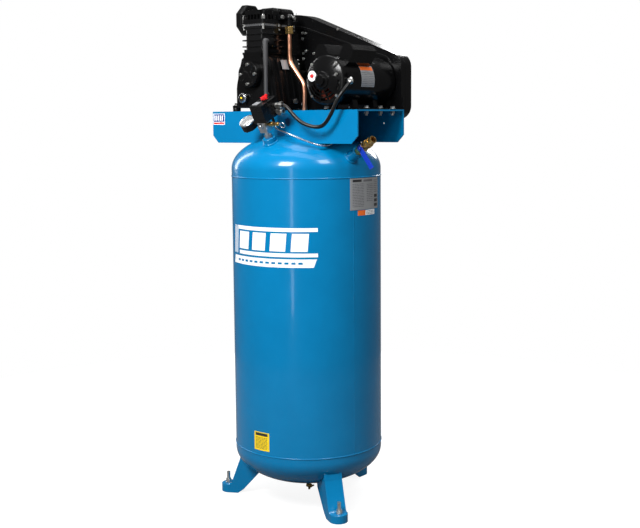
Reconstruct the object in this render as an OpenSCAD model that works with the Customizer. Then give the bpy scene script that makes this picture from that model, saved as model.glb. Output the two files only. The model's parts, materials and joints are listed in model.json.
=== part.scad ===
// Vertical tank air compressor: a belt-driven twin-cylinder pump and an electric motor on a platform
// that is welded to the top of an upright air receiver. Millimetres, +Z up. The origin is on the
// tank's axis at floor level, +X points along the platform towards the motor, and -Y is the front.

/* [Tank] */
// Outside diameter of the tank
tank_od = 508; // [504:1:512]
// Thickness of the tank's steel
tank_wall = 4; // [3:0.5:5]
// Height of the upper weld seam above the floor
seam_top = 1127; // [1100:1:1135]
// Height of the lower weld seam above the floor
seam_low = 205; // [200:1:215]
// Radius of the circle that the foot bolts stand on
foot_circle_r = 293; // [290:1:296]

/* [Platform] */
// Length of the platform
plat_l = 640; // [636:1:660]
// Width of the platform
plat_w = 250; // [248:1:254]
// Height of the platform's flanges
plat_h = 107.5; // [100:0.5:110]

/* [Pump] */
// Cylinder bore
bore_d = 70; // [68:1:71]
// Crank throw, half the stroke
throw = 22; // [18:1:22]
// Outside diameter of the flywheel
flywheel_d = 380; // [360:1:384]

/* [Motor] */
// Outside diameter of the motor's shell
motor_d = 154; // [150:1:156]
// Outside diameter of the motor's pulley
pulley_d = 110; // [100:1:116]

/* [Controls] */
// Tilt of the pressure switch and its fittings, as the tank's top slopes there
switch_tilt = 26; // [24:1:28]
// Lead diameter
lead_d = 12.4; // [10:0.2:12.4]

/* [Hidden] */
$fn = 64;

// Tank
tank_r = tank_od / 2;
head_skirt = 25;            // straight part of each head, next to its seam
top_depth = 125;            // height of the top head's crown above its skirt
low_depth = 120;            // depth of the bottom head's crown below its skirt
low_skirt = 19;
top_tangent = seam_top + head_skirt;
low_tangent = seam_low - low_skirt;
bung_r = 22;
bung_len = 26;
bung_bore_r = 10.5;
switch_bung_rise = 6;

// Platform
plat_top = 1345;
plat_t = 5;
plat_chamfer = 25;
plat_under = plat_top - plat_t;
plat_low = plat_top - plat_h;

// Pump. The crank lies along Y.
pump_x = -174;
crank_z = 1470;
cyl_y = [-28, 58];          // centres of the front and rear cylinders
rod_len = 110;
deck_z = 1546;
plate_z = 1634;             // underside of the valve plate
plate_t = 8;
fin_x = 104;                // width of the fins and the head
fin_y0 = -74;
fin_y1 = 100;
case_y0 = -75;
case_y1 = 105;
base_z = 1357;              // underside of the crankcase's base flange
bore_r = bore_d / 2;
fit = 0.05;                 // radial clearance of a running fit
journal_r = 15;
pin_r = 16;
tail_r = 17.5;

// Drive
drive_y = 178;              // centre plane of the belt
motor_x = 195;
motor_z = 1439;
motor_r = motor_d / 2;
motor_y0 = -132;
motor_y1 = 140;
shaft_r = 7.94;
belt_w = 13;
belt_t = 9;
flywheel_r = flywheel_d / 2;
pulley_r = pulley_d / 2;
guard_y0 = 147;
guard_y1 = 205;
guard_t = 2;

// Fittings
boss_y = -178;
boss_z = 1241;
outlet_r = 240;
outlet_z = 1193;
outlet_turn = -12;
outlet_tilt = 62;
lever_turn = 16;
check_x = -41;
check_y = 43;
check_z = 1273;
drain_z = low_tangent - low_depth;

// Colours
tank_blue = [0.0, 0.52, 0.74];
black = [0.05, 0.05, 0.055];
steel = [0.75, 0.76, 0.78];
brass = [0.78, 0.62, 0.28];
copper = [0.85, 0.5, 0.33];
cast_dark = [0.1, 0.1, 0.11];

// Points on an elliptical head's profile, from its rim to its crown
function head_arc(r, depth, n = 18) = [for (i = [0:n]) [r * cos(90 * i / n), depth * sin(90 * i / n)]];

// A smooth curve through the points of a route, with n steps to each stretch
function smooth_at(p, i, t) =
    let (a = p[max(i - 1, 0)], b = p[i], c = p[i + 1], d = p[min(i + 2, len(p) - 1)])
    0.5 * (2 * b + (c - a) * t + (2 * a - 5 * b + 4 * c - d) * t * t + (3 * b - a - 3 * c + d) * t * t * t);
function smooth_route(p, n) = concat(
    [for (i = [0:len(p) - 2], k = [0:n - 1]) smooth_at(p, i, k / n)], [p[len(p) - 1]]);
function unit(v) = v / norm(v);
function tangent_at(q, i) = unit(q[min(i + 1, len(q) - 1)] - q[max(i - 1, 0)]);
function ring_at(c, dir, up, r, sides) =
    let (u = unit(cross(dir, up)), v = cross(dir, u))
    [for (k = [0:sides - 1]) c + r * (cos(360 * k / sides) * u + sin(360 * k / sides) * v)];

// A round tube swept along a route. up is a direction that the route never runs along.
module sweep(route, r, sides, steps, up) {
    path = smooth_route(route, steps);
    n = len(path);
    pts = [for (i = [0:n - 1]) each ring_at(path[i], tangent_at(path, i), up, r, sides)];
    walls = [for (i = [0:n - 2], k = [0:sides - 1])
        let (k2 = (k + 1) % sides)
            [i * sides + k, i * sides + k2, (i + 1) * sides + k2, (i + 1) * sides + k]];
    tri = [for (f = walls) each [[f[0], f[1], f[2]], [f[0], f[2], f[3]]]];
    near_cap = [for (k = [1:sides - 2]) [0, k + 1, k]];
    last = (n - 1) * sides;
    far_cap = [for (k = [1:sides - 2]) [last, last + k, last + k + 1]];
    polyhedron(points = pts, faces = concat(tri, near_cap, far_cap), convexity = 6);
}

// An outline in X and Z carried from y0 to y1
module along_y(y0, y1) {
    translate([0, y1, 0]) rotate([90, 0, 0]) linear_extrude(y1 - y0) children();
}
module rod_y(x, z, y0, y1, r) {
    translate([x, y1, z]) rotate([90, 0, 0]) cylinder(h = y1 - y0, r = r);
}
module rod_x(x0, x1, r) {
    translate([x0, 0, 0]) rotate([0, 90, 0]) cylinder(h = x1 - x0, r = r);
}
module hex(af, h) {
    cylinder(h = h, d = af / cos(30), $fn = 6);
}
module box(lo, hi) {
    translate(lo) cube(hi - lo);
}

// Frames of the fittings on the sloping top of the tank
module at_switch() {
    translate([0, boss_y, boss_z]) rotate([switch_tilt, 0, 0]) children();
}
module at_outlet() {
    translate([outlet_r * cos(outlet_turn), outlet_r * sin(outlet_turn), outlet_z])
        rotate([0, outlet_tilt, outlet_turn]) children();
}
module at_valve() {
    at_outlet() rotate([0, 0, lever_turn]) children();
}

// ---- Tank ----
module top_solid(r, depth) {
    rotate_extrude($fn = 96) polygon(concat([[0, seam_top]], [[r, seam_top]],
        [for (p = head_arc(r, depth)) [max(p[0], 0), top_tangent + p[1]]]));
}
module low_solid(r, depth) {
    rotate_extrude($fn = 96) polygon(concat([[0, seam_low]],
        [for (i = [18:-1:0]) let (p = head_arc(r, depth)[i]) [max(p[0], 0), low_tangent - p[1]]],
        [[r, seam_low]]));
}
module tank_shell() {
    color(tank_blue) translate([0, 0, seam_low]) difference() {
        cylinder(h = seam_top - seam_low, r = tank_r, $fn = 96);
        translate([0, 0, -1]) cylinder(h = seam_top - seam_low + 2, r = tank_r - tank_wall, $fn = 96);
    }
}
module top_head() {
    color(tank_blue) difference() {
        top_solid(tank_r, top_depth);
        translate([0, 0, -0.01]) top_solid(tank_r - tank_wall, top_depth - tank_wall);
        at_switch() translate([0, 0, -40]) cylinder(h = 80, r = bung_r);
        at_outlet() translate([0, 0, -40]) cylinder(h = 80, r = 19);
        translate([check_x, check_y, check_z - 40]) cylinder(h = 80, r = bung_r);
    }
}
module bottom_head() {
    color(tank_blue) difference() {
        low_solid(tank_r, low_depth);
        translate([0, 0, 0.01]) low_solid(tank_r - tank_wall, low_depth - tank_wall);
        translate([0, 0, drain_z - 20]) cylinder(h = 60, r = bung_r);
    }
}
module bung(rise = 0) {
    difference() {
        translate([0, 0, -bung_len / 2]) cylinder(h = bung_len + rise, r = bung_r);
        translate([0, 0, -bung_len / 2 - 1]) cylinder(h = bung_len + rise + 2, r = bung_bore_r);
    }
}
module tank_bungs() {
    color(tank_blue) {
        at_switch() bung(switch_bung_rise);
        at_outlet() difference() {
            translate([0, 0, -12]) cylinder(h = 52, r = 19);
            translate([0, 0, -13]) cylinder(h = 54, r = bung_bore_r);
        }
        translate([check_x, check_y, check_z]) bung();
        translate([0, 0, drain_z]) bung();
    }
}

// One pressed leg, standing out along +X
leg_w = 62;
leg_t = 4;
pad_top = 28;
pad_r = leg_w / 2;
pad_x = 286;
module leg_side() {
    polygon([[160, 130], [236, 165], [243, 125], [276, 34], [282, pad_top], [pad_x, pad_top],
             [pad_x, 0], [252, 0], [232, 14], [168, 84]]);
}
module leg_shape() {
    difference() {
        union() {
            for (y = [-pad_r, pad_r - leg_t])
                along_y(y, y + leg_t) leg_side();
            along_y(-pad_r, pad_r)
                polygon([[230, 150], [236, 165], [243, 125], [276, 34], [282, pad_top], [pad_x, pad_top],
                         [pad_x, pad_top - leg_t], [279, pad_top - leg_t], [272, 32], [239, 124]]);
            translate([pad_x, 0, 0]) difference() {
                cylinder(h = pad_top, r = pad_r);
                translate([0, 0, -1]) cylinder(h = pad_top - leg_t + 1, r = pad_r - leg_t);
                translate([-2 * pad_r, -pad_r - 1, -1]) cube([2 * pad_r, 2 * pad_r + 2, pad_top + 2]);
            }
        }
        low_solid(tank_r, low_depth);
        translate([foot_circle_r, 0, -1]) cylinder(h = 60, r = 6.5);
    }
}
module leg_front_left() {
    color(tank_blue) rotate([0, 0, -150]) leg_shape();
}
module leg_front_right() {
    color(tank_blue) rotate([0, 0, -30]) leg_shape();
}
module leg_rear() {
    color(tank_blue) rotate([0, 0, 90]) leg_shape();
}
module foot_bolts() {
    color(steel) for (a = [-150, -30, 90]) rotate([0, 0, a]) translate([foot_circle_r, 0, 0]) {
        translate([0, 0, pad_top - leg_t - 8]) hex(18, 8);
        translate([0, 0, pad_top - leg_t - 1]) cylinder(h = 45, r = 5.9);
        translate([0, 0, pad_top]) cylinder(h = 2.5, r = 10.5);
        translate([0, 0, pad_top + 2.5]) hex(18, 10);
        translate([0, 0, pad_top + 12.5]) cylinder(h = 2.5, r = 9);
    }
}
// Drain cock under the middle of the tank. Its key turns about X.
module drain_cock() {
    color(brass) translate([0, 0, drain_z - bung_len / 2]) difference() {
        union() {
            translate([0, 0, -6]) hex(24, 6);
            translate([0, 0, -16]) cylinder(h = 12, r = 6.5);
            translate([0, 0, -1]) cylinder(h = 12, r = bung_bore_r - 0.1);
            translate([0, 0, -22]) rod_x(-9, 9, 7);
            translate([0, 0, -36]) cylinder(h = 16, r = 4);
        }
        translate([0, 0, -37]) cylinder(h = 50, r = 2);
        translate([0, 0, -22]) rod_x(-10, 10, 4 + fit);
    }
}
module drain_key() {
    color(brass) translate([0, 0, drain_z - bung_len / 2 - 22]) {
        difference() {
            rod_x(-9.5, 11, 4);
            translate([0, 0, -5]) cylinder(h = 10, r = 1.8);
        }
        box([11, -11, -2.5], [14, 11, 2.5]);
    }
}

// ---- Platform ----
motor_holes = [[-62, -48], [62, -48], [-62, 2.8], [62, 2.8], [-62, 79], [62, 79]];
used_motor_holes = [[-62, -48], [62, 2.8], [-62, 79], [62, 79]];
pump_holes = [[-84, -68], [84, -68], [-84, 88], [84, 88]];
bracket_hole = [286, 108];
module flange_outline() {
    polygon([[-plat_l / 2, plat_top], [plat_l / 2, plat_top], [plat_l / 2, plat_low + plat_chamfer],
             [plat_l / 2 - plat_chamfer, plat_low], [-plat_l / 2 + plat_chamfer, plat_low],
             [-plat_l / 2, plat_low + plat_chamfer]]);
}
module platform() {
    color(tank_blue) difference() {
        union() {
            box([-plat_l / 2, -plat_w / 2, plat_under], [plat_l / 2, plat_w / 2, plat_top]);
            along_y(-plat_w / 2, -plat_w / 2 + plat_t) flange_outline();
            along_y(plat_w / 2 - plat_t, plat_w / 2) flange_outline();
        }
        top_solid(tank_r, top_depth);
        rod_y(27, 1307, -plat_w / 2 - 1, -plat_w / 2 + plat_t + 1, 13.5);
        rod_y(240, 1301, plat_w / 2 - plat_t - 1, plat_w / 2 + 1, 3);
        for (p = motor_holes)
            translate([motor_x + p[0], p[1], plat_under - 1]) cylinder(h = plat_t + 2, r = 5);
        for (p = pump_holes)
            translate([pump_x + p[0], p[1], plat_under - 1]) cylinder(h = plat_t + 2, r = 5);
        translate([bracket_hole[0], bracket_hole[1], plat_under - 1]) cylinder(h = plat_t + 2, r = 5);
        translate([check_x, check_y, plat_under - 1]) cylinder(h = plat_t + 2, r = 15);
    }
}
module through_bolt(grip_low, grip_top, tail) {
    translate([0, 0, grip_top]) cylinder(h = 2, r = 10);
    translate([0, 0, grip_top + 2]) hex(14, 6);
    translate([0, 0, grip_low - tail]) cylinder(h = grip_top - grip_low + tail + 3, r = 4.6);
    translate([0, 0, grip_low - 8]) hex(14, 8);
}
module mounting_bolts() {
    color(steel) {
        for (p = used_motor_holes)
            translate([motor_x + p[0], p[1], 0]) through_bolt(plat_under, plat_top + 5, 14);
        for (p = pump_holes)
            translate([pump_x + p[0], p[1], 0]) through_bolt(plat_under, base_z + 9, 14);
        translate([bracket_hole[0], bracket_hole[1], 0]) through_bolt(plat_under, plat_top + 3, 14);
        for (q = bell_bolts)
            translate([motor_x + q[0], bell_back - q[2], motor_z + q[1]]) rotate([90, 0, 0]) hex(8, 6);
    }
}

// ---- Pump ----
// Half outline of the crankcase seen from the front: offset from the crank's axis and height
case_side = [[46, deck_z], [46, 1540], [42, 1536], [42, 1529], [50, 1524], [64, 1478], [74, 1438],
             [82, 1384], [82, base_z + 9]];
function mirrored(p) = concat([for (q = p) [pump_x - q[0], q[1]]],
    [for (i = [len(p) - 1:-1:0]) [pump_x + p[i][0], p[i][1]]]);
cavity_side = [[38.5, deck_z + 1], [38.5, 1524], [44, 1516], [56, 1476], [66, 1436], [73, 1390],
               [73, base_z + 16]];
module crankcase() {
    color(cast_dark) difference() {
        union() {
            along_y(case_y0, case_y1) polygon(mirrored(case_side));
            box([pump_x - 92, case_y0 - 5, base_z], [pump_x + 92, case_y1 + 5, base_z + 9]);
            for (p = pump_holes)
                translate([pump_x + p[0], p[1], plat_top]) cylinder(h = base_z - plat_top, r = 14);
            rod_y(pump_x, crank_z, case_y0 - 19, case_y0, 46);
            rod_y(pump_x, crank_z, case_y1, case_y1 + 20, 44);
            for (x = [-62, -30, 30, 62])
                box([pump_x + x - 3, case_y0 - 6, base_z + 9], [pump_x + x + 3, case_y0, 1388]);
            rod_y(glass_x, glass_z, case_y0 - 6, case_y0, 20);
            for (y = [-46, -14, 18, 50, 76], s = [-1, 1])
                along_y(y - 3, y + 3) polygon([for (q = [[42, 1529], [56, 1524], [70, 1478], [80, 1438],
                    [88, 1384], [88, base_z + 9], [60, base_z + 9], [40, 1478]]) [pump_x + s * q[0], q[1]]]);
        }
        along_y(case_y0 + 9, case_y1 - 9) polygon(mirrored(cavity_side));
        rod_y(pump_x, crank_z, case_y0 - 20, case_y0 + 10, 36);
        rod_y(pump_x, crank_z, case_y1 - 10, case_y1 + 12, 30);
        rod_y(pump_x, crank_z, case_y1 + 5, case_y1 + 21, tail_r + 1);
        for (y = cyl_y)
            translate([pump_x, y, deck_z - 25]) cylinder(h = 30, r = bore_r + 0.5);
        for (p = pump_holes)
            translate([pump_x + p[0], p[1], 0]) {
                translate([0, 0, plat_top - 1]) cylinder(h = 40, r = 5);
                translate([0, 0, base_z + 9]) cylinder(h = 84, r = 10.5);
            }
        rod_y(glass_x, glass_z, case_y0 - 20, case_y0 + 10, 12);
        rod_y(breather_x, 1402, case_y0 - 20, case_y0 + 10, 4);
    }
}
module bearing_cover() {
    color(cast_dark) difference() {
        union() {
            rod_y(pump_x, crank_z, case_y0 - 25, case_y0 - 19, 44);
            rod_y(pump_x, crank_z, case_y0 - 19, case_y0 + 1, 35.9);
            for (a = [45, 135])
                translate([pump_x, 0, crank_z]) rotate([0, a, 0])
                    box([-40, case_y0 - 27, -3], [40, case_y0 - 25, 3]);
        }
        rod_y(pump_x, crank_z, case_y0 - 18, case_y0 + 2, 26);
    }
}
module head_bolt(h) {
    hex(13, 7);
    translate([0, 0, -h]) cylinder(h = h + 1, r = 4.5);
}
stud_x = [-44, 44];
stud_y = [-65, 15, 91];
line_y = 40.5;
elbow_bolts = [line_y - 30, line_y + 30];
module pump_fasteners() {
    color(steel) {
        for (a = [0:90:270])
            translate([pump_x + 33 * cos(a), case_y0 - 25, crank_z + 33 * sin(a)])
                rotate([90, 0, 0]) hex(10, 5);
        for (x = stud_x, y = stud_y)
            translate([pump_x + x, y, plate_z - 12]) {
                cylinder(h = plate_t + 12 + 14 + 16, r = 4.4);
                translate([0, 0, plate_t + 12 + 14]) hex(13, 11);
            }
        for (y = elbow_bolts)
            translate([pump_x + fin_x / 2 + 9, y, 1665]) rotate([0, 90, 0]) hex(12, 7);
        translate([pump_x + 88, 43, 1378]) rotate([0, 90, 0]) hex(16, 9);
    }
}
glass_x = -214;
glass_z = 1391;
module oil_sight_glass() {
    color([0.8, 0.78, 0.6]) {
        rod_y(glass_x, glass_z, case_y0 - 12, case_y0 - 6, 17.5);
        rod_y(glass_x, glass_z, case_y0 - 15, case_y0 - 12, 14);
        rod_y(glass_x, glass_z, case_y0 - 7, case_y0 + 6, 11.9);
    }
}
breather_x = -104;
breather_y = case_y0 - 9;
module breather_tube() {
    color(black) {
        translate([breather_x, breather_y, 1510]) cylinder(h = 70, r = 8.6);
        translate([breather_x, breather_y, 1500]) cylinder(h = 12, r = 8);
        translate([breather_x, breather_y, 1402]) cylinder(h = 100, r = 6.9);
        translate([breather_x, breather_y, 1580]) sphere(r = 8.6);
        translate([breather_x, breather_y, 1402]) sphere(r = 6.9);
        rod_y(breather_x, 1580, breather_y, fin_y0, 8);
        rod_y(breather_x, 1402, breather_y, case_y0 + 5, 3.9);
        rod_y(breather_x, 1402, breather_y, case_y0, 6.4);
    }
}
module fin_outline(inset = 0) {
    r = 9;
    x0 = pump_x - fin_x / 2 + inset;
    x1 = pump_x + fin_x / 2 - inset;
    y0 = fin_y0 + inset;
    y1 = fin_y1 - inset;
    difference() {
        translate([x0, y0]) square([x1 - x0, y1 - y0]);
        for (c = [[x0, y0, 1, 1], [x1, y0, -1, 1], [x0, y1, 1, -1], [x1, y1, -1, -1]])
            difference() {
                translate([c[0] - (c[2] < 0 ? r : 0), c[1] - (c[3] < 0 ? r : 0)]) square(r);
                translate([c[0] + c[2] * r, c[1] + c[3] * r]) circle(r = r);
            }
    }
}
fin_heights = [1564, 1585, 1606];
// Rounded core of the cylinder block, carried up around both bores
module core_outline() {
    hull() for (x = [-26, 26], y = [-50, 80]) translate([pump_x + x, y]) circle(r = 18);
}
module cylinder_block() {
    color(cast_dark) difference() {
        union() {
            translate([0, 0, deck_z]) linear_extrude(10) fin_outline(4);
            translate([0, 0, deck_z]) linear_extrude(plate_z - deck_z) core_outline();
            for (z = fin_heights)
                translate([0, 0, z]) linear_extrude(3.6) fin_outline();
            translate([0, 0, plate_z - 8]) linear_extrude(8) fin_outline(3);
            box([pump_x + 40, fin_y0, 1569], [breather_x + 8, fin_y0 + 26, 1591]);
        }
        for (y = cyl_y)
            translate([pump_x, y, deck_z - 1]) cylinder(h = plate_z - deck_z + 2, r = bore_r);
        for (x = stud_x, y = stud_y)
            translate([pump_x + x, y, plate_z - 14]) cylinder(h = 20, r = 4.9);
    }
}
module valve_plate() {
    color(steel) difference() {
        translate([0, 0, plate_z]) linear_extrude(plate_t) fin_outline(7);
        for (x = stud_x, y = stud_y)
            translate([pump_x + x, y, plate_z - 1]) cylinder(h = plate_t + 2, r = 4.9);
        for (y = cyl_y, x = [-14, 14])
            translate([pump_x + x, y, plate_z - 1]) cylinder(h = plate_t + 2, r = 7);
    }
}
head_z = plate_z + plate_t;
rib_top = 1672;
head_top = 1687;
cover_top = 1697;
module cylinder_head() {
    color(cast_dark) difference() {
        union() {
            translate([0, 0, head_z]) linear_extrude(14) fin_outline(1);
            translate([0, 0, head_z]) linear_extrude(head_top - head_z) fin_outline(13);
            translate([0, 0, rib_top]) linear_extrude(head_top - rib_top) fin_outline(4);
            hull() {
                box([pump_x - 20, -22, head_z], [pump_x + fin_x / 2 - 1, fin_y1 - 1, cover_top - 13]);
                box([pump_x - 16, -18, head_z], [pump_x + fin_x / 2 - 5, fin_y1 - 5, cover_top - 4]);
                box([pump_x - 8, -10, head_z], [pump_x + fin_x / 2 - 13, fin_y1 - 13, cover_top]);
            }
            for (x = [-38:15:37])
                box([pump_x + x - 2, fin_y0 + 1, head_z + 13], [pump_x + x + 2, fin_y1 - 1, rib_top + 1]);
            for (y = [fin_y0 + 25:17:fin_y1 - 20])
                box([pump_x - fin_x / 2 + 1, y - 2, head_z + 13],
                    [pump_x + fin_x / 2 - 1, y + 2, rib_top + 1]);
            translate([pump_x + 10, line_y, 1665]) rotate([0, 90, 0]) cylinder(h = fin_x / 2 - 10, r = 18);
            box([pump_x + 30, line_y - 40, 1655], [pump_x + fin_x / 2, line_y + 40, 1675]);
            translate([pump_x - fin_x / 2, -9, 1660]) rotate([0, 90, 0]) cylinder(h = 30, r = 17);
        }
        for (s = [-1, 1]) {
            box([pump_x + s * 24 - 12, fin_y0 + 20, head_z - 1], [pump_x + s * 24 + 12, fin_y1 - 20, 1672]);
        }
        for (x = stud_x, y = stud_y)
            translate([pump_x + x, y, head_z - 1]) cylinder(h = 15.01, r = 4.9);
        for (x = stud_x, y = stud_y)
            translate([pump_x + x, y, head_z + 14]) cylinder(h = 80, r = 9.5);
        translate([pump_x + 20, line_y, 1665]) rotate([0, 90, 0]) cylinder(h = 50, r = 8);
        translate([pump_x - fin_x / 2 - 1, -9, 1660]) rotate([0, 90, 0]) cylinder(h = 30, r = 14);
    }
}

// Air filter on the left of the head: an eight-sided housing with its axis along X
filter_y = -9;
filter_z = 1660;
filter_af = 104;
module octagon_x(x0, x1, af) {
    translate([x0, filter_y, filter_z]) rotate([0, 90, 0]) rotate([0, 0, 22.5])
        cylinder(h = x1 - x0, d = af / cos(22.5), $fn = 8);
}
filter_x = pump_x - fin_x / 2;
module filter_base() {
    color(black) difference() {
        union() {
            octagon_x(filter_x - 12, filter_x - 8, filter_af - 4);
            translate([filter_x - 10, filter_y, filter_z]) rotate([0, 90, 0]) cylinder(h = 10, r = 17);
            translate([filter_x, filter_y, filter_z]) rotate([0, 90, 0]) cylinder(h = 18, r = 13.9);
        }
        translate([filter_x - 13, filter_y, filter_z]) rotate([0, 90, 0]) cylinder(h = 40, r = 11);
        for (a = [0:30:330])
            translate([filter_x - 13, filter_y, filter_z]) rotate([a, 0, 0])
                translate([0, 0, 40]) rotate([0, 90, 0]) cylinder(h = 6, r = 4);
    }
}
module filter_cover() {
    color(black) difference() {
        octagon_x(filter_x - 36, filter_x - 12, filter_af);
        octagon_x(filter_x - 33, filter_x - 11, filter_af - 6);
    }
}
module filter_element() {
    color([0.85, 0.8, 0.65]) difference() {
        translate([filter_x - 32.5, filter_y, filter_z]) rotate([0, 90, 0]) cylinder(h = 20.5, r = 44);
        translate([filter_x - 33, filter_y, filter_z]) rotate([0, 90, 0]) cylinder(h = 22, r = 24);
    }
}

// Discharge line from the head to the tank
elbow_x = pump_x + fin_x / 2;
line_x = -105;
tube_r = 8.2;
module discharge_elbow() {
    color(steel) difference() {
        union() {
            box([elbow_x, line_y - 39, 1656], [elbow_x + 9, line_y + 39, 1674]);
            translate([elbow_x, line_y, 1665]) rotate([0, 90, 0]) cylinder(h = 16, r = 10);
            translate([line_x, line_y, 1665]) sphere(r = 12);
            translate([line_x, line_y, 1634]) cylinder(h = 31, r = 9);
        }
        translate([elbow_x - 1, line_y, 1665]) rotate([0, 90, 0]) cylinder(h = 17, r = 4.5);
        translate([line_x, line_y, 1633]) cylinder(h = 36, r = 6);
        for (y = elbow_bolts)
            translate([elbow_x - 1, y, 1665]) rotate([0, 90, 0]) cylinder(h = 12, r = 4);
    }
}
module tube_nut() {
    difference() {
        hex(27, 25);
        translate([0, 0, -1]) cylinder(h = 27, r = tube_r + 0.3);
    }
}
module tube_nuts() {
    color(brass) {
        translate([line_x, line_y, 1609]) tube_nut();
        translate([check_x, check_y, 1304]) tube_nut();
    }
}
discharge_route = [[line_x, line_y, 1634], [line_x, line_y, 1600], [line_x, line_y, 1565],
                   [line_x, line_y, 1535], [-101, 41, 1512], [-87, 42, 1491], [-66, 43, 1464],
                   [-47, 43, 1439], [-41, 43, 1410], [-41, 43, 1380], [-41, 43, 1345], [-41, 43, 1304]];
module discharge_tube() {
    color(copper) sweep(discharge_route, tube_r, 12, 4, [0, 1, 0]);
}
module check_valve() {
    color(brass) translate([check_x, check_y, check_z]) {
        translate([0, 0, -10]) cylinder(h = 24, r = bung_bore_r - 0.1);
        translate([0, 0, 13]) hex(26, 12);
        translate([0, 0, 24]) cylinder(h = 7, r = 11);
        translate([0, 0, 19]) rod_x(0, 20, 5);
    }
}

// ---- Running gear ----
module web(pin_dx, y0, y1) {
    rod_y(pump_x, crank_z, y0, y1, 22);
    rod_y(pump_x + pin_dx, crank_z, y0, y1, 20);
    s = pin_dx > 0 ? -1 : 1;
    along_y(y0, y1) translate([pump_x, crank_z]) intersection() {
        circle(r = 47);
        translate([s * 25 - 25, -34]) square([50, 68]);
    }
}
module crankshaft() {
    color(steel) {
        rod_y(pump_x, crank_z, case_y0 - 16, -58, journal_r);
        web(throw, -60, -48);
        rod_y(pump_x + throw, crank_z, -49, -7, pin_r - fit);
        web(throw, -8, 4);
        rod_y(pump_x, crank_z, 3, 27, 26);
        web(-throw, 26, 38);
        rod_y(pump_x - throw, crank_z, 37, 79, pin_r - fit);
        web(-throw, 78, 90);
        rod_y(pump_x, crank_z, 89, 128, tail_r);
        rod_y(pump_x, crank_z, 127, 195, 14);
        translate([pump_x, 200, crank_z]) rotate([90, 0, 0]) hex(32, 6);
    }
}
module crank_bearings() {
    color(steel) {
        difference() {
            rod_y(pump_x, crank_z, case_y0 - 17, case_y0 - 3, 26);
            rod_y(pump_x, crank_z, case_y0 - 18, case_y0, journal_r + fit);
        }
        difference() {
            rod_y(pump_x, crank_z, case_y1 - 6, case_y1 + 5, 30);
            rod_y(pump_x, crank_z, case_y1 - 8, case_y1 + 6, tail_r + fit);
        }
    }
}
// A connecting rod with its wrist pin
module con_rod(dx, y) {
    top = crank_z + rod_len;
    difference() {
        union() {
            rod_y(pump_x + dx, crank_z, y - 11, y + 11, 25);
            rod_y(pump_x + dx, top, y - 7.5, y + 7.5, 7.8);
            box([pump_x + dx - 7, y - 6, crank_z + 18], [pump_x + dx + 7, y + 6, top]);
            box([pump_x + dx - 27, y - 8, crank_z - 6], [pump_x + dx + 27, y + 8, crank_z + 6]);
        }
        rod_y(pump_x + dx, crank_z, y - 12, y + 12, pin_r);
    }
    rod_y(pump_x + dx, top, y - 14.5, y + 14.5, 5);
}
module con_rod_front() {
    color(steel) con_rod(throw, cyl_y[0]);
}
module con_rod_rear() {
    color(steel) con_rod(-throw, cyl_y[1]);
}
module pistons() {
    color(steel) for (y = cyl_y)
        translate([pump_x, y, crank_z + rod_len]) difference() {
            translate([0, 0, -20]) cylinder(h = 62, r = bore_r - fit);
            translate([0, 0, -21]) cylinder(h = 57.5, r = bore_r - 3);
            for (z = [28, 34])
                translate([0, 0, z]) difference() {
                    cylinder(h = 2.5, r = bore_r + 1);
                    translate([0, 0, -1]) cylinder(h = 5, r = bore_r - 1.5);
                }
        }
}
groove_half = belt_w / 2;
module belt_wheel(r, x, z, half_w, inner_r) {
    translate([x, drive_y, z]) rotate([90, 0, 0]) rotate_extrude($fn = 96)
        polygon([[inner_r, -half_w], [r, -half_w], [r, -groove_half - 1.6],
                 [r - belt_t - 1.5, -groove_half - 0.4], [r - belt_t - 1.5, groove_half + 0.4],
                 [r, groove_half + 1.6], [r, half_w], [inner_r, half_w]]);
}
module flywheel() {
    color(cast_dark) {
        difference() {
            union() {
                belt_wheel(flywheel_r, pump_x, crank_z, 16, flywheel_r - 24);
                rod_y(pump_x, crank_z, drive_y - 24, drive_y + 16, 30);
                for (a = [0:72:288])
                    translate([pump_x, drive_y, crank_z]) rotate([0, a, 0])
                        box([28, -7, -15], [flywheel_r - 20, 7, 15]);
            }
            rod_y(pump_x, crank_z, drive_y - 30, drive_y + 30, 14);
        }
    }
}
module motor_pulley() {
    color(cast_dark) difference() {
        union() {
            belt_wheel(pulley_r, motor_x, motor_z, 13, 20);
            rod_y(motor_x, motor_z, drive_y - 13, drive_y + 19, 21);
        }
        rod_y(motor_x, motor_z, drive_y - 20, drive_y + 30, shaft_r);
    }
}
module loop_outline(out) {
    hull() {
        translate([pump_x, crank_z]) circle(r = flywheel_r - belt_t + out, $fn = 96);
        translate([motor_x, motor_z]) circle(r = pulley_r - belt_t + out, $fn = 64);
    }
}
module drive_belt() {
    color(black) along_y(drive_y - belt_w / 2 + 0.5, drive_y + belt_w / 2 - 0.5) difference() {
        loop_outline(belt_t);
        loop_outline(0);
    }
}

// ---- Motor. Its axis lies along Y. ----
// The lead's gland sits in a boss on the shell's right side and points forwards and down.
gland_at = [283, -100, 1448];
module motor_shell() {
    color(black) difference() {
        union() {
            rod_y(motor_x, motor_z, motor_y0 + 14, motor_y1 - 14, motor_r);
            box([motor_x + 60, -112, 1438], [motor_x + 99, -86, 1461]);
        }
        rod_y(motor_x, motor_z, motor_y0 + 13, motor_y1 - 13, motor_r - 4);
        translate(gland_at) rotate([135, 0, 0]) cylinder(h = 40, r = 8.1);
    }
}
module vent_arc(a0, a1, r0, r1, y0, y1) {
    translate([motor_x, y1, motor_z]) rotate([90, 0, 0]) rotate([0, 0, a0])
        rotate_extrude(angle = a1 - a0) translate([r0, 0]) square([r1 - r0, y1 - y0]);
}
button_x = 157.3;
button_z = 1452;
bell_back = motor_y0 + 14;
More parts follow.
